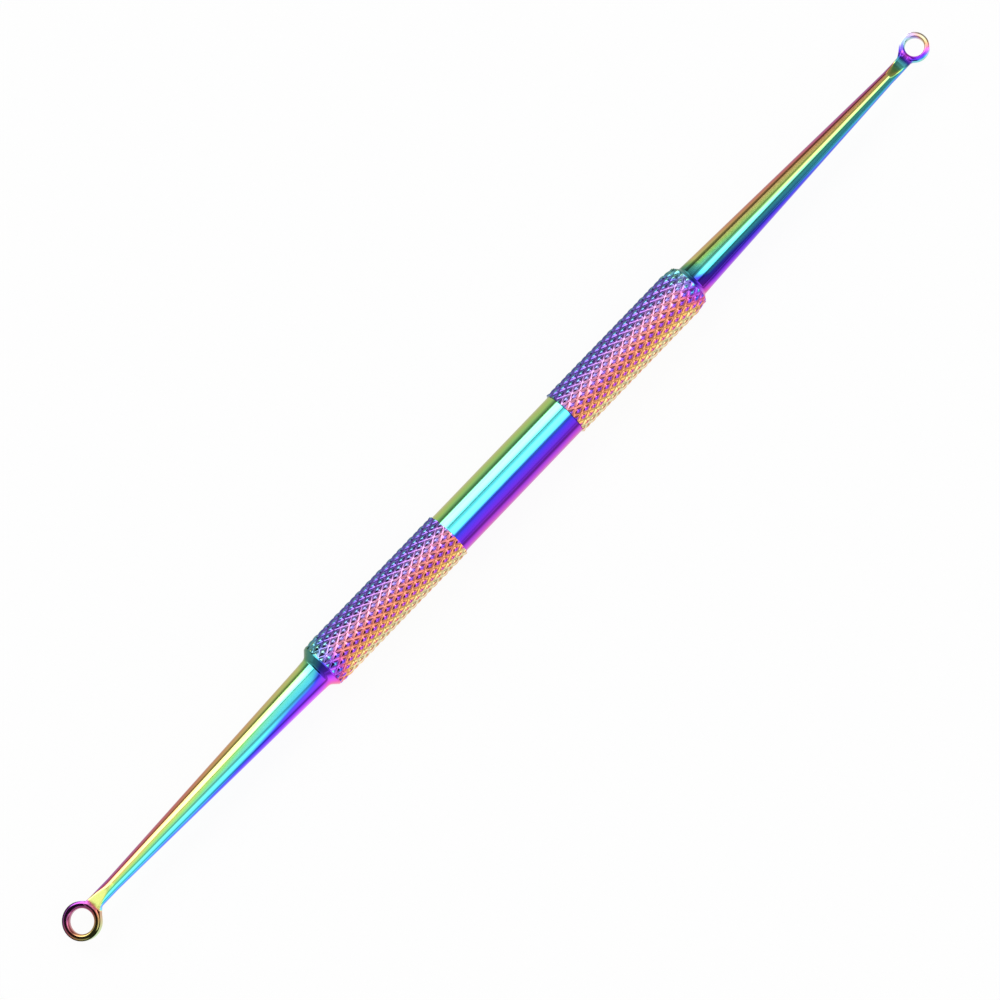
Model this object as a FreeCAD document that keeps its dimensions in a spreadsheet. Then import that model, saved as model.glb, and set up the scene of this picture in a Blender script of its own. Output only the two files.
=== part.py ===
import FreeCAD, Part
import math
import os
import Sketcher

# A double-ended loop extractor: a plain barrel between two knurled grips, a tapered shank at each end and a
# ring bent a little out of line on the tip of each shank, one large and bent down, one small and bent up.
# The origin is the middle of the barrel on the tool's axis, +X runs along the axis to the small loop, and
# +Z is the side from which the loops are seen face on.

# Driving dimensions in millimetres, with angles in degrees, counts and shares
DIMENSIONS = (
    ("barrel_diameter", "4.6"),
    ("barrel_length", "16.4"),
    ("spigot_step", "0.7"),
    ("spigot_relief", "0.1"),
    ("socket_wall", "0.7"),
    ("tenon_length", "7"),
    ("tenon_relief", "0.4"),
    ("fit_clearance", "0.01"),
    ("crest_rise", "0.2"),
    ("knurl_depth", "0.18"),
    ("crest_flat_share", "0.28"),
    ("knurl_starts", "18"),
    ("large_grip_length", "17.5"),
    ("large_grip_rows", "24"),
    ("large_fade_length", "0.7"),
    ("large_fade_drop", "0.08"),
    ("small_grip_length", "17.5"),
    ("small_grip_rows", "24"),
    ("small_fade_length", "1.2"),
    ("small_fade_drop", "0.2"),
    ("large_shoulder_rise", "0.64"),
    ("large_flange_rim", "0.15"),
    ("large_shoulder_length", "0.65"),
    ("large_shoulder_fillet", "0.7"),
    ("large_shank_root_diameter", "3.5"),
    ("large_shank_tip_diameter", "1.455"),
    ("large_shank_length", "28.93"),
    ("small_shoulder_rise", "0.4"),
    ("small_flange_rim", "0.08"),
    ("small_shoulder_length", "0.35"),
    ("small_shoulder_fillet", "0.35"),
    ("small_shank_root_diameter", "3.52"),
    ("small_shank_tip_diameter", "1.355"),
    ("small_shank_length", "28.5"),
    ("tang_diameter", "0.7"),
    ("tang_length", "2"),
    ("tang_relief", "0.1"),
    ("large_neck_lead", "2.63"),
    ("large_bend_radius", "1"),
    ("large_bend_angle", "15"),
    ("large_loop_reach", "1.7"),
    ("large_ring_side_offset", "-0.25"),
    ("large_ring_hole_diameter", "2.48"),
    ("large_ring_wall", "0.67"),
    ("large_ring_edge_radius", "0.25"),
    ("large_tongue_thickness", "0.8"),
    ("large_inner_flat", "0.3"),
    ("large_flat_runout", "1.6"),
    ("large_facet_length", "2.6"),
    ("large_facet_fall", "6.3"),
    ("large_left_web_radius", "0.25"),
    ("large_right_web_radius", "0.9"),
    ("small_neck_lead", "0.8"),
    ("small_bend_radius", "2.5"),
    ("small_bend_angle", "5"),
    ("small_loop_reach", "2.95"),
    ("small_ring_side_offset", "0.14"),
    ("small_ring_hole_diameter", "1.95"),
    ("small_ring_wall", "0.49"),
    ("small_ring_edge_radius", "0.15"),
    ("small_tongue_thickness", "0.7"),
    ("small_inner_flat", "0.6"),
    ("small_flat_runout", "5"),
    ("small_facet_length", "2.6"),
    ("small_facet_fall", "-6"),
    ("small_left_web_radius", "0.9"),
    ("small_right_web_radius", "0.3"),
    ("ring_proud", "0.025"),
    ("web_recess", "0.05"),
    ("cut_overrun", "0.3"),
)
# Radii that two pieces share
SPIGOT_RADIUS = "(@barrel_diameter / 2 - @spigot_step)"
SOCKET_RADIUS = "(@barrel_diameter / 2 - @spigot_step - @socket_wall)"
CREST_RADIUS = "(@barrel_diameter / 2 + @crest_rise)"
FULL_TURN = 360
HALF_TURN = 180

doc = FreeCAD.newDocument("loop_extractor")
sizes = doc.addObject("Spreadsheet::Sheet", "Sizes")
for row, (name, text) in enumerate(DIMENSIONS, start=1):
    sizes.set("A%d" % row, name)
    sizes.set("B%d" % row, text)
    sizes.setAlias("B%d" % row, name)
doc.recompute()


def formula(end, text):
    """A formula in the sheet's names, where $ stands for this end's prefix and each @ for the sheet."""
    return text.replace("$", "@" + end + "_").replace("@", "Sizes.")


def value(end, text):
    """What such a formula comes to."""
    return float(sizes.evalExpression(formula(end, text)))


def new_body(name):
    body = doc.addObject("PartDesign::Body", name)
    body.Label = name
    return body


def origin_plane(body, role):
    return next(item for item in body.Origin.OriginFeatures if item.Role == role)


def new_sketch(body, name, role):
    """An empty sketch on one of the body's own origin planes."""
    sketch = body.newObject("Sketcher::SketchObject", name)
    sketch.AttachmentSupport = [(origin_plane(body, role), "")]
    sketch.MapMode = "FlatFace"
    return sketch


def pin(sketch, element, end_number, end, x_text, y_text):
    """Ties one end of a sketch element to the sketch's origin, along either or both of its axes, at distances
    that the sheet gives."""
    for kind, axis, text in (("DistanceX", -2, x_text), ("DistanceY", -1, y_text)):
        if text == "0":
            sketch.addConstraint(Sketcher.Constraint("PointOnObject", element, end_number, axis))
        elif text:
            rule = Sketcher.Constraint(kind, -1, 1, element, end_number, value(end, text))
            sketch.setExpression("Constraints[%d]" % sketch.addConstraint(rule), formula(end, text))


def draw_outline(sketch, end, points):
    """A closed outline through points, each a pair of formulas. A third and a fourth formula in a point give
    the middle of an arc that runs, against the clock, from that point to the next."""
    spots = [FreeCAD.Vector(value(end, point[0]), value(end, point[1]), 0) for point in points]
    elements = []
    for index, point in enumerate(points):
        start = spots[index]
        stop = spots[(index + 1) % len(spots)]
        if len(point) == 2:
            elements.append(sketch.addGeometry(Part.LineSegment(start, stop)))
            continue
        middle = FreeCAD.Vector(value(end, point[2]), value(end, point[3]), 0)
        circle = Part.Circle(middle, FreeCAD.Vector(0, 0, 1), (start - middle).Length)
        arc = Part.ArcOfCircle(circle, circle.parameter(start), circle.parameter(stop))
        elements.append(sketch.addGeometry(arc))
    for index, element in enumerate(elements):
        following = elements[(index + 1) % len(elements)]
        sketch.addConstraint(Sketcher.Constraint("Coincident", element, 2, following, 1))
    for index, point in enumerate(points):
        x_text, y_text = point[:2]
        before = points[index - 1]
        if len(before) == 4:
            spoke = spots[index] - FreeCAD.Vector(value(end, before[2]), value(end, before[3]), 0)
            x_text, y_text = (None, y_text) if abs(spoke.x) > abs(spoke.y) else (x_text, None)
        pin(sketch, elements[index], 1, end, x_text, y_text)
        if len(point) == 4:
            pin(sketch, elements[index], 3, end, point[2], point[3])


def revolve(body, name, sketch, axis):
    """The sketch turned once round one of its own axes."""
    turned = body.newObject("PartDesign::Revolution", name)
    turned.Profile = sketch
    turned.ReferenceAxis = (sketch, [axis])
    turned.Angle = FULL_TURN
    return turned


def place_outward(piece, end, distance):
    """Sets a piece at a distance from the origin along the axis, and turns it over for the large end."""
    if end == "large":
        piece.Placement = FreeCAD.Placement(
            FreeCAD.Vector(0, 0, 0), FreeCAD.Rotation(FreeCAD.Vector(0, 1, 0), HALF_TURN)
        )
        piece.setExpression("Placement.Base.x", "-(" + formula(end, distance) + ")")
    else:
        piece.setExpression("Placement.Base.x", formula(end, distance))


def make_barrel():
    """The turned bar: the plain barrel, a spigot under each grip and a socket drilled in each spigot."""
    body = new_body("handle_barrel")
    sketch = new_sketch(body, "barrel_profile", "XY_Plane")
    small_seat = "@barrel_length / 2 + @small_grip_length"
    large_seat = "@barrel_length / 2 + @large_grip_length"
    small_end = small_seat + " - @spigot_relief"
    large_end = "-(" + large_seat + " - @spigot_relief)"
    small_floor = small_seat + " - @tenon_length - @tenon_relief"
    large_floor = "-(" + large_seat + " - @tenon_length - @tenon_relief)"
    draw_outline(sketch, "small", (
        (large_floor, "0"),
        (small_floor, "0"),
        (small_floor, SOCKET_RADIUS),
        (small_end, SOCKET_RADIUS),
        (small_end, SPIGOT_RADIUS),
        ("@barrel_length / 2", SPIGOT_RADIUS),
        ("@barrel_length / 2", "@barrel_diameter / 2"),
        ("-@barrel_length / 2", "@barrel_diameter / 2"),
        ("-@barrel_length / 2", SPIGOT_RADIUS),
        (large_end, SPIGOT_RADIUS),
        (large_end, SOCKET_RADIUS),
        (large_floor, SOCKET_RADIUS),
    ))
    revolve(body, "barrel_turning", sketch, "H_Axis")
    return body


def knurl_lattice(end):
    """The knurled cylinder as one solid of flat faces. Two sets of grooves, as many as there are starts, cross
    on a lattice that steps half a groove round and one row along. Between the crossings each raised diamond is
    a pyramid over its four crossings, cut flat at the crest, and it is halved at the two ends. The surface
    falls off towards the outer end by the fade."""
    length = value(end, "$grip_length")
    rows = round(value(end, "$grip_rows"))
    columns = 2 * round(value(end, "@knurl_starts"))
    fade_length = value(end, "$fade_length")
    fade_drop = value(end, "$fade_drop")
    crest = value(end, CREST_RADIUS)
    root = value(end, CREST_RADIUS + " - @knurl_depth")
    flat_share = value(end, "@crest_flat_share")
    apex = (crest - flat_share * root) / (1 - flat_share)
    column_angle = 2 * math.pi / columns

    def spot(row, column, radius):
        """A lattice point at a radius, lowered by the fade."""
        along = length * row / rows
        lowered = radius - fade_drop * max(0, (along - length + fade_length) / fade_length)
        angle = column_angle * (column % columns)
        return FreeCAD.Vector(along, lowered * math.cos(angle), lowered * math.sin(angle))

    def diamond(row, column):
        """The four crossings round a diamond, and the corners of its flat top below its virtual apex."""
        corners = [
            spot(row, column - 1, root),
            spot(row + 1, column, root),
            spot(row, column + 1, root),
            spot(row - 1, column, root),
        ]
        top = spot(row, column, apex)
        outward = FreeCAD.Vector(0, math.cos(column_angle * column), math.sin(column_angle * column))
        above_top = apex - crest
        tops = [top + (corner - top) * (above_top / (top - corner).dot(outward)) for corner in corners]
        return corners, tops

    def face(points):
        return Part.Face(Part.makePolygon(points + points[:1]))

    faces = []
    for row in range(rows + 1):
        rim = []
        for column in range((row + 1) % 2, columns, 2):
            corners, tops = diamond(row, column)
            kept = {0: (0, 1, 2), rows: (2, 3, 0)}.get(row, (0, 1, 2, 3, 0))
            for number, after in zip(kept, kept[1:]):
                faces.append(face([corners[number], corners[after], tops[after], tops[number]]))
            faces.append(face([tops[number] for number in dict.fromkeys(kept)]))
            rim += [corners[0], tops[0], tops[2]]
        if row in (0, rows):
            faces.append(face(rim))
    shell = Part.makeShell(faces)
    shell.sewShape()
    solid = Part.makeSolid(shell)
    if solid.Volume < 0:
        solid.reverse()
    return solid


def make_grip(end):
    """The knurled sleeve: the knurled cylinder, bored to press onto the barrel's spigot."""
    blank = doc.addObject("Part::Feature", end + "_knurled_blank")
    blank.Shape = knurl_lattice(end)
    bore = doc.addObject("Part::Cylinder", end + "_grip_bore")
    bore.setExpression("Radius", formula(end, SPIGOT_RADIUS + " + @fit_clearance"))
    bore.setExpression("Height", formula(end, "$grip_length + 2 * @cut_overrun"))
    bore.Placement = FreeCAD.Placement(
        FreeCAD.Vector(0, 0, 0), FreeCAD.Rotation(FreeCAD.Vector(0, 0, 1), FreeCAD.Vector(1, 0, 0))
    )
    bore.setExpression("Placement.Base.x", formula(end, "-@cut_overrun"))
    grip = doc.addObject("Part::Cut", end + "_end_grip")
    grip.Label = end + "_end_grip"
    grip.Base = blank
    grip.Tool = bore
    place_outward(grip, end, "@barrel_length / 2")
    return grip


def make_shank(end):
    """The turned shank: a tenon for the handle's socket, a flange that seats on the grip, a coned shoulder with
    a fillet, the long taper and a hole for the loop's tang. Its outline starts at the flange's seat."""
    body = new_body(end + "_end_shank")
    sketch = new_sketch(body, end + "_shank_profile", "XY_Plane")
    tenon = SOCKET_RADIUS + " - @fit_clearance"
    flange = "$shank_root_diameter / 2 + $shoulder_rise"
    shoulder_foot = "$flange_rim + $shoulder_length"
    hole = "@tang_diameter / 2 + @fit_clearance"
    hole_floor = "$shank_length - @tang_length - @tang_relief"
    draw_outline(sketch, end, (
        ("-@tenon_length", "0"),
        (hole_floor, "0"),
        (hole_floor, hole),
        ("$shank_length", hole),
        ("$shank_length", "$shank_tip_diameter / 2"),
        (shoulder_foot, "$shank_root_diameter / 2"),
        ("$flange_rim", flange),
        ("0", flange),
        ("0", tenon),
        ("-@tenon_length", tenon),
    ))
    turning = revolve(body, end + "_shank_turning", sketch, "H_Axis")
    doc.recompute()
    foot = value(end, shoulder_foot)
    circles = {number: edge for number, edge in enumerate(turning.Shape.Edges, start=1)
               if edge.Curve.TypeId == "Part::GeomCircle"}
    foot_edge = min(circles, key=lambda number: abs(circles[number].CenterOfMass.x - foot))
    fillet = body.newObject("PartDesign::Fillet", end + "_shoulder_fillet")
    fillet.Base = (turning, ["Edge%d" % foot_edge])
    fillet.setExpression("Radius", formula(end, "$shoulder_fillet"))
    place_outward(body, end, "@barrel_length / 2 + $grip_length")
    return body


def set_on_ring(sketch, end, tilt_axis, height_axis, side_axis=None, side_sense=""):
    """Moves a sketch to the ring's middle and tilts it into the bent neck's line. With a side axis, the sketch
    also moves off the neck's line with the ring."""
    tilt = FreeCAD.Rotation(tilt_axis, value(end, "$bend_angle"))
    sketch.AttachmentOffset = FreeCAD.Placement(FreeCAD.Vector(0, 0, 0), tilt)
    sketch.setExpression("AttachmentOffset.Rotation.Angle", formula(end, "$bend_angle"))
    along = "$neck_lead + $bend_radius * sin($bend_angle) + $loop_reach * cos($bend_angle)"
    height = "$bend_radius * (1 - cos($bend_angle)) + $loop_reach * sin($bend_angle)"
    sketch.setExpression("AttachmentOffset.Base.x", formula(end, along))
    sketch.setExpression("AttachmentOffset.Base." + height_axis, formula(end, height))
    if side_axis:
        side = side_sense + "$ring_side_offset"
        sketch.setExpression("AttachmentOffset.Base." + side_axis, formula(end, side))


def draw_circle(sketch, end, radius):
    """A circle round the sketch's origin."""
    sketch.addGeometry(Part.Circle(FreeCAD.Vector(0, 0, 0), FreeCAD.Vector(0, 0, 1), value(end, radius)))
    sketch.addConstraint(Sketcher.Constraint("Coincident", 0, 3, -1, 1))
    rule = sketch.addConstraint(Sketcher.Constraint("Radius", 0, value(end, radius)))
    sketch.setExpression("Constraints[%d]" % rule, formula(end, radius))


def draw_neck_path(sketch, end, stop_short):
    """The neck's line: a straight lead, the bend, and a straight run that stops short of the ring's middle."""
    bend_x = "$neck_lead + $bend_radius * sin($bend_angle)"
    bend_y = "$bend_radius * (1 - cos($bend_angle))"
    stop_x = bend_x + " + ($loop_reach - (" + stop_short + ")) * cos($bend_angle)"
    stop_y = bend_y + " + ($loop_reach - (" + stop_short + ")) * sin($bend_angle)"
    lead_end = FreeCAD.Vector(value(end, "$neck_lead"), 0, 0)
    bend_end = FreeCAD.Vector(value(end, bend_x), value(end, bend_y), 0)
    path_end = FreeCAD.Vector(value(end, stop_x), value(end, stop_y), 0)
    bend_middle = lead_end + FreeCAD.Vector(0, value(end, "$bend_radius"), 0)
    bend = Part.Circle(bend_middle, FreeCAD.Vector(0, 0, 1), value(end, "$bend_radius"))
    sketch.addGeometry(Part.LineSegment(FreeCAD.Vector(0, 0, 0), lead_end))
    sketch.addGeometry(Part.ArcOfCircle(bend, bend.parameter(lead_end), bend.parameter(bend_end)))
    sketch.addGeometry(Part.LineSegment(bend_end, path_end))
    sketch.addConstraint(Sketcher.Constraint("Coincident", 0, 1, -1, 1))
    sketch.addConstraint(Sketcher.Constraint("Coincident", 0, 2, 1, 1))
    sketch.addConstraint(Sketcher.Constraint("Coincident", 1, 2, 2, 1))
    pin(sketch, 0, 2, end, "$neck_lead", "0")
    pin(sketch, 1, 3, end, "$neck_lead", "$bend_radius")
    pin(sketch, 1, 2, end, bend_x, None)
    pin(sketch, 2, 2, end, stop_x, stop_y)


def make_loop(end):
    """The loop: a round neck with a tang, bent and then flattened to a tongue, which runs through a rounded web
    into a ring with rounded edges. Its outline starts at the shank's tip, and the bend is upwards."""
    body = new_body(end + "_loop")
    neck = "$shank_tip_diameter / 2"
    hole = "$ring_hole_diameter / 2"
    outer = "($ring_hole_diameter / 2 + $ring_wall)"

    section = new_sketch(body, end + "_neck_section", "YZ_Plane")
    draw_circle(section, end, neck)
    path = new_sketch(body, end + "_neck_path", "XZ_Plane")
    draw_neck_path(path, end, hole + " + $ring_edge_radius")
    rod = body.newObject("PartDesign::AdditivePipe", end + "_neck")
    rod.Profile = section
    rod.Spine = (path, ["Edge1", "Edge2", "Edge3"])
    doc.recompute()

    # The two sides of the tongue: inside the bend a flat with a round run-out into the neck, and outside it a
    # facet that falls away from the ring's plane and ends where it leaves the neck
    flats = new_sketch(body, end + "_tongue_flats", "XZ_Plane")
    set_on_ring(flats, end, FreeCAD.Vector(0, 0, 1), "y")
    half = "$tongue_thickness / 2"
    clear = "$shank_tip_diameter"
    run = "sqrt($flat_runout^2 - ($flat_runout + " + half + " - (" + clear + "))^2)"
    inner_start = "-(" + outer + " + $inner_flat)"
    facet_end = "-(" + outer + " + $facet_length)"
    facet_height = "-(" + half + " - $facet_length * tan($facet_fall))"
    draw_outline(flats, end, (
        (inner_start + " - " + run, clear, inner_start, half + " + $flat_runout"),
        (inner_start, half),
        ("-" + hole, half),
        ("-" + hole, clear),
    ))
    draw_outline(flats, end, (
        (facet_end, facet_height),
        (facet_end, "-" + clear),
        ("-" + hole, "-" + clear),
        ("-" + hole, "-" + half),
        ("-" + outer, "-" + half),
    ))
    flattening = body.newObject("PartDesign::Pocket", end + "_tongue")
    flattening.Profile = flats
    flattening.SideType = "Symmetric"
    flattening.setExpression("Length", formula(end, "$shank_tip_diameter + 2 * @cut_overrun"))

    # The ring's section, a rectangle with rounded corners beside the ring's axis
    rim = new_sketch(body, end + "_ring_section", "XZ_Plane")
    set_on_ring(rim, end, FreeCAD.Vector(0, 0, 1), "y", "z", "-")
    top = half + " + @ring_proud"
    high = top + " - $ring_edge_radius"
    inner_edge = hole + " + $ring_edge_radius"
    outer_edge = outer + " - $ring_edge_radius"
    draw_outline(rim, end, (
        (outer, "-(" + high + ")"),
        (outer, high, outer_edge, high),
        (outer_edge, top),
        (inner_edge, top, inner_edge, high),
        (hole, high),
        (hole, "-(" + high + ")", inner_edge, "-(" + high + ")"),
        (inner_edge, "-(" + top + ")"),
        (outer_edge, "-(" + top + ")", outer_edge, "-(" + high + ")"),
    ))
    revolve(body, end + "_ring", rim, "V_Axis")

    # The web, which fills the two corners between the tongue and the ring with an arc each
    web = new_sketch(body, end + "_web_outline", "XY_Plane")
    set_on_ring(web, end, FreeCAD.Vector(0, -1, 0), "z", "y")
    chord = "sqrt((" + neck + ")^2 - (" + half + " - @web_recess)^2)"
    left_reach = "(" + outer + " + $left_web_radius)"
    left_share = outer + " / " + left_reach
    left_side = "(" + chord + " - $ring_side_offset)"
    left_y = "(" + left_side + " + $left_web_radius)"
    left_x = "sqrt(" + left_reach + "^2 - " + left_y + "^2)"
    right_reach = "(" + outer + " + $right_web_radius)"
    right_share = outer + " / " + right_reach
    right_side = "(" + chord + " + $ring_side_offset)"
    right_y = "(" + right_side + " + $right_web_radius)"
    right_x = "sqrt(" + right_reach + "^2 - " + right_y + "^2)"
    draw_outline(web, end, (
        ("-" + left_x, left_side, "-" + left_x, left_y),
        ("-" + left_x + " * " + left_share, left_y + " * " + left_share),
        ("-" + right_x + " * " + right_share, "-" + right_y + " * " + right_share,
         "-" + right_x, "-" + right_y),
        ("-" + right_x, "-" + right_side),
    ))
    gusset = body.newObject("PartDesign::Pad", end + "_web")
    gusset.Profile = web
    gusset.SideType = "Symmetric"
    gusset.setExpression("Length", formula(end, "$tongue_thickness - 2 * @web_recess"))

    root = new_sketch(body, end + "_tang_section", "YZ_Plane")
    draw_circle(root, end, "@tang_diameter / 2")
    tang = body.newObject("PartDesign::Pad", end + "_tang")
    tang.Profile = root
    tang.Reversed = True
    tang.setExpression("Length", formula(end, "@tang_length"))
    place_outward(body, end, "@barrel_length / 2 + $grip_length + $shank_length")
    return body


pieces = [make_barrel()]
for end in ("large", "small"):
    pieces += [make_grip(end), make_shank(end), make_loop(end)]
doc.recompute()

for item in doc.Objects:
    if "Invalid" in item.State or "Error" in item.State:
        raise RuntimeError(item.Name + " failed to build")
for piece in pieces:
    if piece.Shape.isNull() or not piece.Shape.isValid() or len(piece.Shape.Solids) != 1:
        raise RuntimeError(piece.Label + " is not one valid solid")

os.makedirs("parts", exist_ok=True)
for piece in pieces:
    piece.Shape.exportStep("parts/" + piece.Label + ".step")
    box = piece.Shape.BoundBox
    print(piece.Label, "volume %.3f" % piece.Shape.Volume,
          "x %.2f %.2f y %.2f %.2f z %.2f %.2f" % (box.XMin, box.XMax, box.YMin, box.YMax, box.ZMin, box.ZMax))
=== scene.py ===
import bpy
import math
import numpy as np
from mathutils import Matrix, Vector


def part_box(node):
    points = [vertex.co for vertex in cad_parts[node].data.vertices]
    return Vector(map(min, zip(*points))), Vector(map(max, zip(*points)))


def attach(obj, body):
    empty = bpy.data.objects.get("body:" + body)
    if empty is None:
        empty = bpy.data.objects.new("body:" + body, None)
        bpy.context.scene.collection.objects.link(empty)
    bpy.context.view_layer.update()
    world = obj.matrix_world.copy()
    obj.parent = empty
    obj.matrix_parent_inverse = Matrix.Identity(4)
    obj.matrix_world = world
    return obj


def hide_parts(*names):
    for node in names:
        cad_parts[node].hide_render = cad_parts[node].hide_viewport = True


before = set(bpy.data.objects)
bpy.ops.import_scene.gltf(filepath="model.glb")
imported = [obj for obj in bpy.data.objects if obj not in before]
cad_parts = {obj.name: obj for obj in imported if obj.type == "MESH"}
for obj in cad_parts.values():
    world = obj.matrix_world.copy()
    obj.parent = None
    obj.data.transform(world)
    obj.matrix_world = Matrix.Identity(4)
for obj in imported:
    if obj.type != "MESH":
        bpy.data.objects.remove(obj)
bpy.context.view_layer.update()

# The barrel is the plain middle of the handle, one turned bar of stainless steel, polished to a mirror
# and then coated with a film so thin that light makes rainbow colours in it. Its ends are cut down to
# spigots, which the two grips are pressed over.
MM = 0.001
BARREL_RADIUS = 2.3 * MM
SPIGOT_RADIUS = 1.58 * MM
SPIGOT_RELIEF = 0.1 * MM
BARREL_EDGE = 0.04 * MM
EVEN_FROM_EDGE = 0.15 * MM
ARC_STEPS = 8
TURNED_STEPS = 192
SHARP_ANGLE = math.radians(40)

# The film is thickest on the side that this direction names, and thicker on the thin ends than on the
# handle. Its gain along the tool is a share by the distance from the tool's middle, in mm
FILM_LEAN = math.radians(12)
FILM_SIDE = np.array([0.0, math.cos(FILM_LEAN), math.sin(FILM_LEAN)])
FILM_HANDLE = 0.54
FILM_SWING = 0.31
FILM_SWING_GAIN = 0.04
FILM_GAIN_OUTWARD = 0.255
FILM_GAIN_ALONG = ((20, 26, 28, 31, 34, 38, 46, 55), (0.0, 0.12, 0.34, 0.53, 0.65, 0.74, 0.95, 1.0))

# Interference colours of the film by its thickness, from thin to thick
FILM_COLOURS = (
    (-0.25, (0.50, 0.84, 0.90)),
    (-0.17, (0.72, 0.89, 0.86)),
    (-0.08, (0.95, 0.87, 0.62)),
    (0.00, (0.93, 0.74, 0.30)),
    (0.07, (0.95, 0.50, 0.10)),
    (0.14, (0.92, 0.24, 0.13)),
    (0.21, (0.80, 0.08, 0.36)),
    (0.285, (0.54, 0.06, 0.86)),
    (0.354, (0.22, 0.03, 0.88)),
    (0.40, (0.14, 0.04, 0.92)),
    (0.455, (0.05, 0.06, 0.93)),
    (0.494, (0.07, 0.36, 0.88)),
    (0.54, (0.09, 0.68, 0.88)),
    (0.61, (0.12, 0.77, 0.80)),
    (0.70, (0.20, 0.80, 0.52)),
    (0.75, (0.29, 0.81, 0.27)),
    (0.80, (0.52, 0.78, 0.20)),
    (0.86, (0.75, 0.69, 0.22)),
    (0.93, (0.82, 0.45, 0.17)),
    (1.00, (0.75, 0.21, 0.17)),
    (1.07, (0.66, 0.15, 0.36)),
    (1.14, (0.42, 0.08, 0.52)),
    (1.21, (0.14, 0.08, 0.60)),
    (1.30, (0.10, 0.34, 0.58)),
)
FILM_THIN = FILM_COLOURS[0][0]
FILM_FULL = FILM_COLOURS[-1][0]

# The steel where it shows pale, the near black of painted shade, the film's fine unevenness, the polish and
# turning
PALE_STEEL = (0.68, 0.66, 0.68, 1)
PAINTED_SHADE_COLOUR = (0.02, 0.02, 0.03, 1)
CLOUD_SCALE = 260
CLOUD_DETAIL = 2
CLOUD_MIDDLE = 0.5
HAZE_SCALE = 2400
HAZE_DETAIL = 3
HAZE_STRENGTH = 0.06
RING_MARK_SCALE = 7000
RING_MARK_DETAIL = 1
RING_MARK_HEIGHT = 0.01 * MM


def smooth_step(share):
    """Rises from 0 to 1 with level ends: three squares of the share less two cubes, the share held in 0
    to 1."""
    held = np.clip(share, 0.0, 1.0)
    return held * held * (3.0 - 2.0 * held)


def rounded_profile(corners):
    """The outline through corners of (station, radius, rounding): a rounding is an arc that touches both
    sides of its corner, swept evenly in angle about the point where the two offset sides meet."""
    corners = np.asarray(corners, float)
    outline = [corners[0, :2]]
    for before, corner, after in zip(corners, corners[1:], corners[2:]):
        if corner[2] == 0:
            outline.append(corner[:2])
            continue
        back = (before - corner)[:2] / np.linalg.norm((before - corner)[:2])
        on = (after - corner)[:2] / np.linalg.norm((after - corner)[:2])
        half_angle = math.acos(float(np.clip(back @ on, -1, 1))) / 2
        middle = corner[:2] + (back + on) / np.linalg.norm(back + on) * corner[2] / math.sin(half_angle)
        reach = corner[2] / math.tan(half_angle)
        first = corner[:2] + back * reach - middle
        last = corner[:2] + on * reach - middle
        turn = math.atan2(first[0] * last[1] - first[1] * last[0], float(first @ last))
        sweep = np.linspace(0, turn, ARC_STEPS)
        outline.extend(np.stack([
            middle[0] + first[0] * np.cos(sweep) - first[1] * np.sin(sweep),
            middle[1] + first[0] * np.sin(sweep) + first[1] * np.cos(sweep),
        ], axis=1))
    outline.append(corners[-1, :2])
    return np.array(outline)


def turned_form(profile, steps):
    """A turned solid: every profile point (station, radius) runs round the axis as a ring, at radius
    times cosine and sine of the turn. The first and the last point lie on the axis, and a fan of
    triangles closes each."""
    turn = np.linspace(0, 2 * np.pi, steps, endpoint=False)
    station, radius = profile[1:-1, :1], profile[1:-1, 1:]
    rings = np.stack([station + 0 * turn, radius * np.cos(turn), radius * np.sin(turn)], axis=-1)
    poles = np.array([[profile[0, 0], 0, 0], [profile[-1, 0], 0, 0]])
    points = np.concatenate([rings.reshape(-1, 3), poles])
    here = np.arange(len(station) * steps).reshape(-1, steps)
    beside = np.roll(here, -1, axis=1)
    walls = np.stack([here[:-1], beside[:-1], beside[1:], here[1:]], axis=-1).reshape(-1, 4)
    near = np.stack([np.full(steps, here.size), beside[0], here[0]], axis=-1)
    far = np.stack([np.full(steps, here.size + 1), here[-1], beside[-1]], axis=-1)
    return points, walls.tolist() + near.tolist() + far.tolist()


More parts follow.
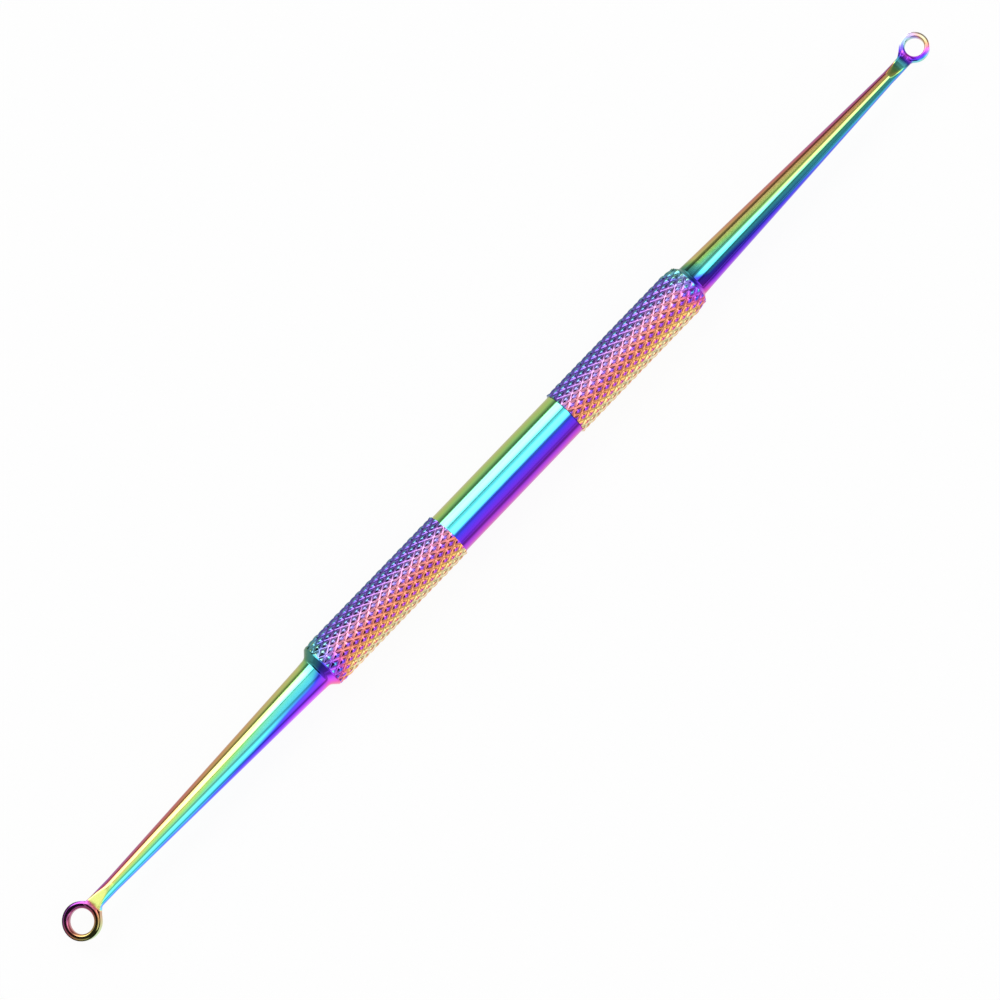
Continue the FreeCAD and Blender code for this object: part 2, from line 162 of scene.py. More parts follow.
def film_group():
    """The rainbow film as a node group: the thickness, made a little uneven by a slow noise, reads its
    colour from the row of interference colours. The colour gives way to pale steel by its share and to
    the near black of painted shade by the share of painted shade, and a finer noise gives the polish a
    little haze."""
    group = bpy.data.node_groups.new("rainbow_film", "ShaderNodeTree")
    for name in ("Thickness", "Unevenness", "Polish", "Paleness", "Painted Shade"):
        group.interface.new_socket(name, in_out="INPUT", socket_type="NodeSocketFloat")
    group.interface.new_socket("Place", in_out="INPUT", socket_type="NodeSocketVector")
    group.interface.new_socket("Colour", in_out="OUTPUT", socket_type="NodeSocketColor")
    group.interface.new_socket("Roughness", in_out="OUTPUT", socket_type="NodeSocketFloat")
    nodes, links = group.nodes, group.links
    given = nodes.new("NodeGroupInput")
    result = nodes.new("NodeGroupOutput")
    clouds = nodes.new("ShaderNodeTexNoise")
    clouds.inputs["Scale"].default_value = CLOUD_SCALE
    clouds.inputs["Detail"].default_value = CLOUD_DETAIL
    links.new(given.outputs["Place"], clouds.inputs["Vector"])
    centred = nodes.new("ShaderNodeMath")
    centred.operation = "SUBTRACT"
    centred.inputs[1].default_value = CLOUD_MIDDLE
    links.new(clouds.outputs["Fac"], centred.inputs[0])
    uneven = nodes.new("ShaderNodeMath")
    uneven.operation = "MULTIPLY_ADD"
    links.new(centred.outputs[0], uneven.inputs[0])
    links.new(given.outputs["Unevenness"], uneven.inputs[1])
    links.new(given.outputs["Thickness"], uneven.inputs[2])
    share = nodes.new("ShaderNodeMapRange")
    share.inputs["From Min"].default_value = FILM_THIN
    share.inputs["From Max"].default_value = FILM_FULL
    links.new(uneven.outputs[0], share.inputs["Value"])
    ramp = nodes.new("ShaderNodeValToRGB")
    stops = ramp.color_ramp.elements
    stops[0].position, stops[0].color = 0.0, (*FILM_COLOURS[0][1], 1)
    stops[1].position, stops[1].color = 1.0, (*FILM_COLOURS[-1][1], 1)
    for thickness, film_colour in FILM_COLOURS[1:-1]:
        stops.new((thickness - FILM_THIN) / (FILM_FULL - FILM_THIN)).color = (*film_colour, 1)
    links.new(share.outputs["Result"], ramp.inputs["Fac"])
    colour = ramp.outputs["Color"]
    # Paleness mixes in pale steel, and the painted shade share darkens the colour towards near black
    for steel_share, steel in (("Paleness", PALE_STEEL), ("Painted Shade", PAINTED_SHADE_COLOUR)):
        mix = nodes.new("ShaderNodeMix")
        mix.data_type = "RGBA"
        mix.inputs["B"].default_value = steel
        links.new(given.outputs[steel_share], mix.inputs["Factor"])
        links.new(colour, mix.inputs["A"])
        colour = mix.outputs["Result"]
    links.new(colour, result.inputs["Colour"])
    haze = nodes.new("ShaderNodeTexNoise")
    haze.inputs["Scale"].default_value = HAZE_SCALE
    haze.inputs["Detail"].default_value = HAZE_DETAIL
    links.new(given.outputs["Place"], haze.inputs["Vector"])
    dulled = nodes.new("ShaderNodeMath")
    dulled.operation = "MULTIPLY_ADD"
    dulled.inputs[1].default_value = HAZE_STRENGTH
    links.new(haze.outputs["Fac"], dulled.inputs[0])
    links.new(given.outputs["Polish"], dulled.inputs[2])
    links.new(dulled.outputs[0], result.inputs["Roughness"])
    return group


rainbow_film = film_group()


def coated_steel(name, polish, unevenness, ring_marks):
    """Polished steel under the rainbow film, with turning marks, where it has any, as rings across the
    axis: a noise of the distance along the axis alone, raised as a bump."""
    material = bpy.data.materials.new(name)
    material.use_nodes = True
    nodes, links = material.node_tree.nodes, material.node_tree.links
    steel = nodes["Principled BSDF"]
    steel.inputs["Metallic"].default_value = 1.0
    film = nodes.new("ShaderNodeGroup")
    film.node_tree = rainbow_film
    film.inputs["Unevenness"].default_value = unevenness
    film.inputs["Polish"].default_value = polish
    for attribute, socket in (("film", "Thickness"), ("pale", "Paleness"), ("painted_shade", "Painted Shade")):
        laid_on = nodes.new("ShaderNodeAttribute")
        laid_on.attribute_name = attribute
        links.new(laid_on.outputs["Fac"], film.inputs[socket])
    place = nodes.new("ShaderNodeTexCoord")
    links.new(place.outputs["Object"], film.inputs["Place"])
    links.new(film.outputs["Colour"], steel.inputs["Base Color"])
    links.new(film.outputs["Roughness"], steel.inputs["Roughness"])
    if ring_marks:
        along = nodes.new("ShaderNodeSeparateXYZ")
        links.new(place.outputs["Object"], along.inputs[0])
        rings = nodes.new("ShaderNodeTexNoise")
        rings.noise_dimensions = "1D"
        rings.inputs["Scale"].default_value = RING_MARK_SCALE
        rings.inputs["Detail"].default_value = RING_MARK_DETAIL
        links.new(along.outputs["X"], rings.inputs["W"])
        relief = nodes.new("ShaderNodeBump")
        relief.inputs["Strength"].default_value = ring_marks
        relief.inputs["Distance"].default_value = RING_MARK_HEIGHT
        links.new(rings.outputs["Fac"], relief.inputs["Height"])
        links.new(relief.outputs["Normal"], steel.inputs["Normal"])
    return material


def film_round(points, normals):
    """The film's thickness: the handle's, plus the gain outward, plus the swing times the cosine between
    the surface and the film's side. The swing too gains outward."""
    outward = np.interp(np.abs(points[:, 0]) / MM, *FILM_GAIN_ALONG)
    swing = FILM_SWING + FILM_SWING_GAIN * outward
    return FILM_HANDLE + FILM_GAIN_OUTWARD * outward + swing * (normals @ FILM_SIDE)


def make_piece(name, node, points, faces, material, film=film_round, pale=0.0, painted_shade=0.0):
    """Puts points and faces into a mesh at the origin and lays the film on it: its thickness by the
    points and the normals, how pale it is, and how much painted shade darkens it."""
    mesh = bpy.data.meshes.new(name)
    mesh.from_pydata(points.tolist(), [], faces)
    mesh.shade_smooth()
    mesh.set_sharp_from_angle(angle=SHARP_ANGLE)
    mesh.update()
    normals = np.empty(len(points) * 3)
    mesh.vertex_normals.foreach_get("vector", normals)
    thickness = film(points, normals.reshape(-1, 3))
    # The painted shade share is laid on the mesh and darkens its colour where shade is painted
    for share, values in (("film", thickness), ("pale", pale), ("painted_shade", painted_shade)):
        values = np.broadcast_to(values, len(points)).astype(np.float32)
        mesh.attributes.new(share, "FLOAT", "POINT").data.foreach_set("value", values)
    mesh.materials.append(material)
    piece = bpy.data.objects.new(name, mesh)
    bpy.context.scene.collection.objects.link(piece)
    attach(piece, "root")
    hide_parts(node)


large_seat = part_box("large_end_grip")[0].x
large_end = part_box("large_end_grip")[1].x
small_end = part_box("small_end_grip")[0].x
small_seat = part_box("small_end_grip")[1].x
barrel_profile = rounded_profile((
    (large_seat + SPIGOT_RELIEF, 0, 0),
    (large_seat + SPIGOT_RELIEF, SPIGOT_RADIUS, 0),
    (large_end, SPIGOT_RADIUS, 0),
    (large_end, BARREL_RADIUS, BARREL_EDGE),
    (large_end + EVEN_FROM_EDGE, BARREL_RADIUS, 0),
    (small_end - EVEN_FROM_EDGE, BARREL_RADIUS, 0),
    (small_end, BARREL_RADIUS, BARREL_EDGE),
    (small_end, SPIGOT_RADIUS, 0),
    (small_seat - SPIGOT_RELIEF, SPIGOT_RADIUS, 0),
    (small_seat - SPIGOT_RELIEF, 0, 0),
))
barrel_points, barrel_faces = turned_form(barrel_profile, TURNED_STEPS)
barrel_steel = coated_steel("barrel_rainbow_steel", polish=0.07, unevenness=0.05, ring_marks=0.02)
make_piece("barrel", "handle_barrel", barrel_points, barrel_faces, barrel_steel)

# The grips are two sleeves of the same coated steel with a diamond knurl rolled into them. Each diamond
# is a small pyramid with its top left flat, and the outer end of a sleeve runs down a little. They are
# pressed on the spigots.
CREST_RADIUS = 2.5 * MM
KNURL_DEPTH = 0.18 * MM
CREST_FLAT_SHARE = 0.28
KNURL_STARTS = 18
KNURL_ROWS = 24
GRIP_BORE_RADIUS = 1.61 * MM
STEPS_PER_ROW = 8
CREST_SOFTENING = 0.02 * MM
RIDGE_SOFTENING = 0.05
GROOVE_SOFTENING = 0.05 * MM
GROOVE_FLOOR = 0.025 * MM

# The film, how pale the steel is, and the painted shade that darkens it, round a grip: from the side
# away from the film's side (-1) to the film's side (1)
GRIP_TURN = (-1.0, -0.85, -0.7, -0.5, -0.3, -0.1, 0.0, 0.2, 0.4, 0.6, 0.8, 1.0)
GRIP_FILM = (-0.06, -0.02, 0.065, 0.115, 0.14, 0.155, 0.165, 0.205, 0.265, 0.325, 0.36, 0.40)
GRIP_PALENESS = (0.10, 0.10, 0.08, 0.08, 0.08, 0.16, 0.22, 0.38, 0.45, 0.25, 0.20, 0.20)
GRIP_PAINTED_SHADE = (0.0, 0.0, 0.0, 0.05, 0.05, 0.18, 0.32, 0.20, 0.32, 0.47, 0.50, 0.50)

# The film's gains on the flat tops, over this share of the groove's depth, and towards the outer end
CREST_FILM_GAIN = 0.20
CREST_FILM_EDGE = 0.45
END_FILM_GAIN = 0.22
END_FILM_RUN = 2.4 * MM


def soft_least(one, other, softening):
    """The smaller of two values, with the corner where they cross rounded off over the softening."""
    return (one + other - np.sqrt((one - other) ** 2 + softening ** 2)) / 2


def knurled_sleeve(length, fade_length, fade_drop):
    """A sleeve with a diamond knurl: the radius is the root's plus a pyramid's height, which falls with
    the larger of the distances to the two sets of grooves, is cut soft and flat at the crest, and sinks
    towards the outer end by the fade. Rows and columns of the grid meet the grooves at their crossings,
    and every cell of the grid is split along the groove that crosses it. The two ends and the bore close
    the sleeve."""
    columns = 2 * KNURL_STARTS
    row = np.arange(KNURL_ROWS * STEPS_PER_ROW + 1)[:, None] / STEPS_PER_ROW
    column = np.arange(columns * STEPS_PER_ROW)[None, :] / STEPS_PER_ROW
    falling, rising = (column + row + 1) / 2, (column - row - 1) / 2
    from_falling = np.abs(falling - np.round(falling))
    from_rising = np.abs(rising - np.round(rising))
    farther = -soft_least(-from_falling, -from_rising, RIDGE_SOFTENING)
    pyramid = KNURL_DEPTH / (1 - CREST_FLAT_SHARE) * (1 - 2 * farther)
    height = soft_least(pyramid, KNURL_DEPTH, CREST_SOFTENING)
    height = -soft_least(-height, -GROOVE_FLOOR, GROOVE_SOFTENING)
    along = length * row / KNURL_ROWS
    fade = fade_drop * np.clip((along - length + fade_length) / fade_length, 0, 1)
    radius = CREST_RADIUS - KNURL_DEPTH + height - fade
    bore = np.full((1, radius.shape[1]), GRIP_BORE_RADIUS)
    radius = np.concatenate([bore, radius, bore])
    station = np.concatenate([[[0.0]], along, [[length]]]) + 0 * radius
    turn = np.pi / KNURL_STARTS * column
    points = np.stack([station, radius * np.cos(turn), radius * np.sin(turn)], axis=-1).reshape(-1, 3)
    depth_share = np.concatenate([bore * 0, 1 - height / KNURL_DEPTH, bore * 0]).ravel()

    here = np.arange(radius.size).reshape(radius.shape)
    beside = np.roll(here, -1, axis=1)
    above, above_beside = np.roll(here, -1, axis=0), np.roll(beside, -1, axis=0)
    cell_row = (np.arange(radius.shape[0]) - 1) // STEPS_PER_ROW
    cell_column = np.arange(radius.shape[1]) // STEPS_PER_ROW
    odd = ((cell_row[:, None] + cell_column[None, :]) % 2 == 1)[..., None]
    one = np.where(odd, np.stack([here, beside, above], -1), np.stack([here, beside, above_beside], -1))
    other = np.where(odd, np.stack([beside, above_beside, above], -1),
                     np.stack([here, above_beside, above], -1))
    faces = np.concatenate([one.reshape(-1, 3), other.reshape(-1, 3)])
    return points, faces.tolist(), depth_share


def faced_outward(points, end, seat):
    """A piece drawn from its seat along +X, set at its seat on the small end, or given a half turn about
    Y and set at its seat on the large end."""
    if end == "large":
        points = points * (-1, 1, -1)
    return points + (seat, 0, 0)


grip_steel = coated_steel("grip_rainbow_steel", polish=0.10, unevenness=0.05, ring_marks=0)
GRIPS = (
    {"end": "large", "seat": large_end, "length": large_end - large_seat, "fade_length": 0.7 * MM,
     "fade_drop": 0.08 * MM},
    {"end": "small", "seat": small_end, "length": small_seat - small_end, "fade_length": 1.2 * MM,
     "fade_drop": 0.2 * MM},
)
for grip in GRIPS:
    end, seat, length = grip["end"], grip["seat"], grip["length"]
    grip_points, grip_faces, groove_share = knurled_sleeve(length, grip["fade_length"], grip["fade_drop"])

    grip_points = faced_outward(grip_points, end, seat)
    radial = grip_points * (0, 1, 1)
    turned = (radial / np.linalg.norm(radial, axis=1, keepdims=True)) @ FILM_SIDE

    def film_on_knurl(points, normals):
        """The film is thin on the knurl, follows the sleeve's roundness, and is thicker on the flat tops
        and towards the outer end."""
        tops = smooth_step(1 - groove_share / CREST_FILM_EDGE)
        near_end = smooth_step((np.abs(points[:, 0] - seat) - length + END_FILM_RUN) / END_FILM_RUN)
        return np.interp(turned, GRIP_TURN, GRIP_FILM) + CREST_FILM_GAIN * tops + END_FILM_GAIN * near_end

    make_piece(end + "_grip", end + "_end_grip", grip_points, grip_faces, grip_steel,
               film_on_knurl, np.interp(turned, GRIP_TURN, GRIP_PALENESS),
               np.interp(turned, GRIP_TURN, GRIP_PAINTED_SHADE))

# The shanks are turned tapers of the same coated steel. A flange at the thick end seats on the grip, and
# a coned shoulder with a fillet leads down to the taper. Each is fixed by a tenon in the handle and
# carries a loop.
SHANK_STEPS = 160
FLANGE_EDGE = 0.05 * MM
LEAST_RADIUS = 0.001 * MM

# Rings on the taper that keep its shading even: the first by its distance from the grip, the others by
# their share of the length
TAPER_EVEN_FROM = 2.0 * MM
TAPER_RINGS = (0.5, 0.75)

# The film thins beside the grip and once more on the shoulder, where painted shade darkens the steel
# too, except underneath
SHOULDER_FILM_DROP = 0.08
SHOULDER_FILM_STEP = 0.06
SHOULDER_PAINTED_SHADE = 0.64
SHOULDER_RUN = 1.3 * MM
SHOULDER_UNDERNEATH = -0.7

# Where the film is uneven on the taper: its share by the distance from the tool's middle, in mm, and the
# bands in front and below, by their place round the shank
TAPER_MIDDLE = ((26, 36, 44, 54), (0.0, 1.0, 0.8, 0.2))
BAND_IN_FRONT = 0.0
BAND_BELOW = -0.42
BAND_WIDTH = 0.2
large_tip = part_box("large_end_shank")[0].x
small_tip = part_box("small_end_shank")[1].x
SHANKS = (
    {"end": "large", "seat": large_seat, "length": large_seat - large_tip, "flange": 2.39 * MM,
     "rim": 0.15 * MM, "shoulder": 0.65 * MM, "fillet": 0.7 * MM, "root": 1.75 * MM, "tip": 0.7275 * MM,
     "film_run": 4.5 * MM, "thinner_up": 0.12, "thinner_below": 0.0, "thicker_front": 0.0},
    {"end": "small", "seat": small_seat, "length": small_tip - small_seat, "flange": 2.16 * MM,
     "rim": 0.08 * MM, "shoulder": 0.35 * MM, "fillet": 0.35 * MM, "root": 1.76 * MM, "tip": 0.6775 * MM,
     "film_run": 2.8 * MM, "thinner_up": 0.03, "thinner_below": 0.055, "thicker_front": 0.04},
)
shank_steel = coated_steel("shank_rainbow_steel", polish=0.07, unevenness=0.05, ring_marks=0.03)
for size in SHANKS:
    end, seat, length, root, tip = size["end"], size["seat"], size["length"], size["root"], size["tip"]
    taper_stations = (TAPER_EVEN_FROM, *(length * share for share in TAPER_RINGS))
    shank_profile = rounded_profile((
        (0, 0, 0),
        (0, size["flange"], 0),
        (size["rim"], size["flange"], FLANGE_EDGE),
        (size["rim"] + size["shoulder"], root, size["fillet"]),
        *((station, root + (tip - root) * station / length, 0) for station in taper_stations),
        (length, tip, 0),
        (length, 0, 0),
    ))
    shank_points, shank_faces = turned_form(shank_profile, SHANK_STEPS)

    shank_points = faced_outward(shank_points, end, seat)
    radial = shank_points * (0, 1, 1)
    radial = radial / np.maximum(np.linalg.norm(radial, axis=1, keepdims=True), LEAST_RADIUS)
    turned = radial @ FILM_SIDE
    from_grip = np.abs(shank_points[:, 0] - seat)
    on_shoulder = smooth_step(2 - 2 * from_grip / SHOULDER_RUN) * smooth_step(turned - SHOULDER_UNDERNEATH)

    def film_on_shank(points, normals):
        """The film follows the shank's roundness, on the shoulder too, and is thinner there and beside
        the grip. In the middle of the taper it is thinner towards the film's side and in a band below,
        and thicker in a band in front, each band a bell curve of the place round the shank."""
        middle = np.interp(np.abs(points[:, 0]) / MM, *TAPER_MIDDLE)
        beside_grip = smooth_step(1 - from_grip / size["film_run"])
        below = np.exp(-((turned - BAND_BELOW) / BAND_WIDTH) ** 2)
        front = np.exp(-((turned - BAND_IN_FRONT) / BAND_WIDTH) ** 2)
        thinner = middle * (size["thinner_up"] * np.maximum(turned, 0) + size["thinner_below"] * below
                            - size["thicker_front"] * front)
        drop = SHOULDER_FILM_DROP * beside_grip + SHOULDER_FILM_STEP * on_shoulder
        return film_round(points, radial) - drop - thinner

    # The shoulder beside the grip is darkened with painted shade, except underneath
    make_piece(end + "_shank", end + "_end_shank", shank_points, shank_faces, shank_steel,
               film_on_shank, 0.0, SHOULDER_PAINTED_SHADE * on_shoulder)

# The loops are the working ends: a wire neck let into the shank's tip, bent a little, pressed flat to a
# tongue and run through a rounded web into a ring with rounded edges. They are of the same steel, coated
# with the rest.
LOOP_TURNS = 420
LOOP_ROUND = 112
RING_PROUD = 0.025 * MM
WEB_RECESS = 0.01 * MM
WEB_END_SHARE = 0.7
WEB_FALL_SHARE = 0.12
NECK_LET_IN = 0.25 * MM
LOOP_SOFTENING = 0.10 * MM
FACET_SOFTENING = 0.04 * MM
WEB_SOFTENING = 0.02 * MM

# How the loop's section is found: how square its rays spread, how many times their spread they may go,
# the least that they are divided by, and how often they are halved
SECTION_SQUARENESS = 4
LONGEST_RAY = 6.0
LEAST_RAY = 0.001 * MM
SEARCH_STEPS = 40


def loop_field(u, v, h, size):
    """How far a point lies outside the loop, below zero inside it. The point is given from the ring's
    middle: u along the neck, v to the side and h off the ring's plane. The loop is a ring of rounded
    section, a bent wire cut by a flat with a round run-out on one side and a sloping facet on the other,
    and a plate of the same thickness whose outline joins ring and tongue by a round fillet on either
    side."""
    half = size["tongue"] / 2
    off_ring = np.hypot(u, v - size["side"])
    outer = size["hole"] + size["wall"]
    edge = size["edge"]
    across = np.abs(off_ring - size["hole"] - size["wall"] / 2) - size["wall"] / 2 + edge
    upright = np.abs(h) - half - RING_PROUD + edge
    ring = np.hypot(np.maximum(across, 0), np.maximum(upright, 0)) - edge
    ring = ring + np.minimum(np.maximum(across, upright), 0)

    back = -u - size["reach"]
    bend = size["bend"]
    turned = np.arctan2(back, size["bend_radius"] - h)
    lead = -(back * np.cos(bend) + (h - size["bend_radius"]) * np.sin(bend))
    lead_height = back * np.sin(bend) - (h - size["bend_radius"]) * np.cos(bend)
    off_plane = np.where(back < 0, h, np.where(
        turned < bend, size["bend_radius"] - np.hypot(back, size["bend_radius"] - h),
        size["bend_radius"] - lead_height))
    wire = np.hypot(v, off_plane) - size["neck"]
    root = -lead - size["lead"] - NECK_LET_IN

    run = np.clip(-u - outer - size["inner_flat"], 0, size["runout"])
    inner_side = h - half - size["runout"] + np.sqrt(size["runout"] ** 2 - run ** 2)
    outer_side = -h - half + math.tan(size["fall"]) * np.maximum(-u - outer, 0)
    sides = np.maximum(inner_side, outer_side)
    tongue = -soft_least(-wire, -sides, FACET_SOFTENING)
    tongue = np.maximum(np.maximum(tongue, root), u + size["hole"] + edge)

    chord = math.sqrt(size["neck"] ** 2 - (half - WEB_RECESS) ** 2)
    strip = np.maximum(np.abs(v) - chord, u)
    disc = off_ring - outer
    web = np.where(v > 0, size["left_web"], size["right_web"])
    near_strip = np.maximum(web - strip, 0)
    near_disc = np.maximum(web - disc, 0)
    outline = np.maximum(np.minimum(strip, disc), web) - np.hypot(near_strip, near_disc)
    recess = WEB_RECESS + WEB_FALL_SHARE * np.maximum(-u - outer, 0)
    plate = np.maximum(np.maximum(outline, sides + recess), size["hole"] + edge - off_ring)
    plate = np.maximum(plate, -u - outer - WEB_END_SHARE * max(size["left_web"], size["right_web"]))
    return soft_least(soft_least(ring, tongue, LOOP_SOFTENING), plate, WEB_SOFTENING)


def loop_surface(size):
    """The loop's surface as a section carried round the ring's axis. At each turn the section's middle
    lies halfway between the hole and the outer edge, and rays from it to points spread evenly round a
    rounded box of the section's own length and height are halved until they end on the loop's surface."""
    bunching = size["neck_turn"]
    share = np.linspace(-1, 1, LOOP_TURNS, endpoint=False)
    turn = np.pi + np.pi * (share * bunching + (1 - bunching) * share ** 3)
    cos_turn, sin_turn = np.cos(turn)[:, None], np.sin(turn)[:, None]

    def place(distance, height):
        """From the distance off the ring's axis and the height to u, v and h at every turn."""
        return distance * cos_turn, size["side"] + distance * sin_turn, height

    def last_inside(start_r, start_h, way_r, way_h, reach):
        """How many times its way a ray goes from its start until it leaves the loop, found by halving."""
        low = np.zeros(np.broadcast(start_r, way_r).shape)
        high = low + reach
        for _ in range(SEARCH_STEPS):
            middle = (low + high) / 2
            inside = loop_field(*place(start_r + middle * way_r, start_h + middle * way_h), size) < 0
            low = np.where(inside, middle, low)
            high = np.where(inside, high, middle)
        return low

    ring_middle = np.full((LOOP_TURNS, 1), size["hole"] + size["wall"] / 2)
    longest = size["reach"] + size["bend_radius"] * size["bend"] + size["lead"] + NECK_LET_IN
    outer = ring_middle + last_inside(ring_middle, 0.0, np.ones_like(ring_middle), 0.0, longest)
    middle = (size["hole"] + outer) / 2
    half_length = (outer - size["hole"]) / 2
    round_share = np.linspace(0, 2 * np.pi, LOOP_ROUND, endpoint=False)[None, :]
    squarer = (np.abs(np.cos(round_share)) ** SECTION_SQUARENESS
               + np.abs(np.sin(round_share)) ** SECTION_SQUARENESS) ** (-1 / SECTION_SQUARENESS)
    way_r = half_length * np.cos(round_share) * squarer
    way_h = size["tongue"] / 2 * np.sin(round_share) * squarer + 0 * half_length
    to_hole = (middle - size["hole"] / 2) / np.maximum(-way_r, LEAST_RAY)
    reach = last_inside(middle, 0.0, way_r, way_h, np.minimum(to_hole, LONGEST_RAY))
    u, v, h = place(middle + reach * way_r, reach * way_h)
    points = np.stack([u + 0 * h, v + 0 * h, h], axis=-1)
    here = np.arange(h.size).reshape(h.shape)
    beside, above = np.roll(here, -1, axis=1), np.roll(here, -1, axis=0)
    above_beside = np.roll(beside, -1, axis=0)
    faces = np.stack([here, above, above_beside, beside], axis=-1).reshape(-1, 4)
    return points.reshape(-1, 3), faces.tolist()


def bent_to_shank(points, size):
    """From the ring's own plane to the shank's line: the ring's middle moves out by the neck's lead, the
    bend and the reach, and the whole is turned up by the bend."""
    cos_bend, sin_bend = math.cos(size["bend"]), math.sin(size["bend"])
    out = size["lead"] + size["bend_radius"] * sin_bend + size["reach"] * cos_bend
    up = size["bend_radius"] * (1 - cos_bend) + size["reach"] * sin_bend
    u, v, h = points.T
    return np.stack([out + u * cos_bend - h * sin_bend, v, up + u * sin_bend + h * cos_bend], axis=-1)


# Sizes of a loop, then its films: on the ring, with what is added to the left, the right, outward, inward
# and by the turn, and on the flat leaf of the neck. The leaf's half width, film and painted shade, and the
# ends of each film and of the paleness, go by the distance from the ring's middle, in mm. The painted
# shade darkens the whole large ring and the small loop's leaf
LEAF_EDGE = 0.14 * MM
WHOLE_WIDTH = 9.0
PALE_ENDS = (0.2, 1.4)
LOOPS = (
    {"end": "large", "tip": large_tip,
     "neck": 0.7275 * MM, "lead": 2.63 * MM, "bend_radius": 1.0 * MM, "bend": math.radians(15),
     "reach": 1.7 * MM, "side": -0.25 * MM, "hole": 1.24 * MM, "wall": 0.67 * MM, "edge": 0.25 * MM,
     "tongue": 0.8 * MM, "inner_flat": 0.3 * MM, "runout": 1.6 * MM, "fall": math.radians(6.3),
     "left_web": 0.25 * MM, "right_web": 0.9 * MM, "neck_turn": 0.45,
     "film_ring": 1.0, "film_left": 0.13, "film_right": -0.18, "film_out": 0.0, "film_in": 0.05,
     "film_turn": 0.03, "ring_ends": (1.85, 2.05), "leaf_ends": (3.9, 4.3),
     "leaf": ((1.7, 2.0, 2.6, 4.4), (WHOLE_WIDTH, 0.66, 0.62, 0.0)),
     "film_leaf": ((1.9, 2.0, 4.3), (0.9, 0.84, 0.83)),
     "painted_shade": ((1.85, 2.0), (0.36, 0.0)), "pale_left": 0.0, "pale_out": 0.0},
    {"end": "small", "tip": small_tip,
     "neck": 0.6775 * MM, "lead": 0.8 * MM, "bend_radius": 2.5 * MM, "bend": math.radians(5),
     "reach": 2.95 * MM, "side": 0.14 * MM, "hole": 0.975 * MM, "wall": 0.49 * MM, "edge": 0.15 * MM,
     "tongue": 0.7 * MM, "inner_flat": 0.6 * MM, "runout": 5.0 * MM, "fall": math.radians(-6),
     "left_web": 0.9 * MM, "right_web": 0.3 * MM, "neck_turn": 0.45,
     "film_ring": 0.30, "film_left": 0.30, "film_right": 0.17, "film_out": -0.33, "film_in": 0.0,
     "film_turn": -0.20, "ring_ends": (1.2, 1.5), "leaf_ends": (3.5, 3.9),
     "leaf": ((1.5, 1.8, 3.9), (WHOLE_WIDTH, 0.75, 0.0)),
     "film_leaf": ((1.2, 1.45, 1.73, 2.2, 2.7, 3.5), (0.27, 0.33, 0.47, 0.62, 0.72, 0.83)),
     "painted_shade": ((1.15, 1.45, 1.7, 2.2, 2.5, 3.5, 3.95), (0.0, 0.5, 0.75, 0.75, 0.5, 0.4, 0.0)),
     "pale_left": 0.6, "pale_out": 0.4},
)
loop_steel = coated_steel("loop_rainbow_steel", polish=0.08, unevenness=0.05, ring_marks=0)
for size in LOOPS:
    end, outer = size["end"], size["hole"] + size["wall"]
    ring_points, loop_faces = loop_surface(size)
    u, v, h = ring_points.T
    from_ring = -u / MM
    in_leaf = np.clip((np.interp(from_ring, *size["leaf"]) * MM - np.abs(v)) / LEAF_EDGE + 0.5, 0, 1)

    def film_on_loop(points, normals):
        """On the neck the film goes on from the shank. On the leaf and the ring it gives way to films of
        their own, by the distance from the ring's middle and, on the ring, by the place round it and a
        little by the turn."""
        side = (v - size["side"]) / outer
        on_ring = (size["film_ring"] + size["film_left"] * np.maximum(side, 0)
                   + size["film_right"] * np.maximum(-side, 0) + size["film_out"] * np.maximum(u, 0) / outer
                   + size["film_in"] * np.maximum(-u, 0) / outer
                   + size["film_turn"] * (normals @ FILM_SIDE))
        on_leaf = np.interp(from_ring, *size["film_leaf"])
        film = film_round(points, normals)
        film = film + (on_leaf - film) * in_leaf * np.interp(from_ring, size["leaf_ends"], (1.0, 0.0))
        return film + (on_ring - film) * np.interp(from_ring, size["ring_ends"], (1.0, 0.0))

    loop_points = faced_outward(bent_to_shank(ring_points, size), end, size["tip"])
    # Painted shade: the large ring and the small loop's leaf are darkened in colour
    painted_shade = in_leaf * np.interp(from_ring, *size["painted_shade"])
    pale = (size["pale_left"] * np.maximum(v, 0) + size["pale_out"] * np.maximum(u, 0)) / outer
    pale = pale * np.interp(from_ring, PALE_ENDS, (1.0, 0.0))
    make_piece(end + "_loop", end + "_loop", loop_points, loop_faces, loop_steel,
               film_on_loop, pale, painted_shade)

# The tool lies on a plain white table top in a pale tent with bright panels over it and darker gaps
# between them. The table is a flat sheet under the grips, shows as white and keeps a part of the tool's
# shadow.
FLOOR_HALF = 1.5
FLOOR_COLOUR = (0.86, 0.86, 0.86, 1)
FLOOR_GLOW_SHARE = 0.94

# How bright the table is in the tool's polish, by the distance behind the tool (plus) or in front
# (minus), in mm
FLOOR_IN_FRONT = (
    (-120, 0.80), (-60, 0.50), (-22, 0.32), (-14, 0.30), (-8, 0.85), (-4, 0.95), (4, 0), (120, 0),
)
FLOOR_BEHIND = ((-120, 0), (-4, 0), (4, 0.64), (120, 0.64))

# The front part is brighter beside the large end, by the distance along the tool in mm
FRONT_ALONG = ((-150, 1.4), (-30, 1.4), (-20, 1), (150, 1))


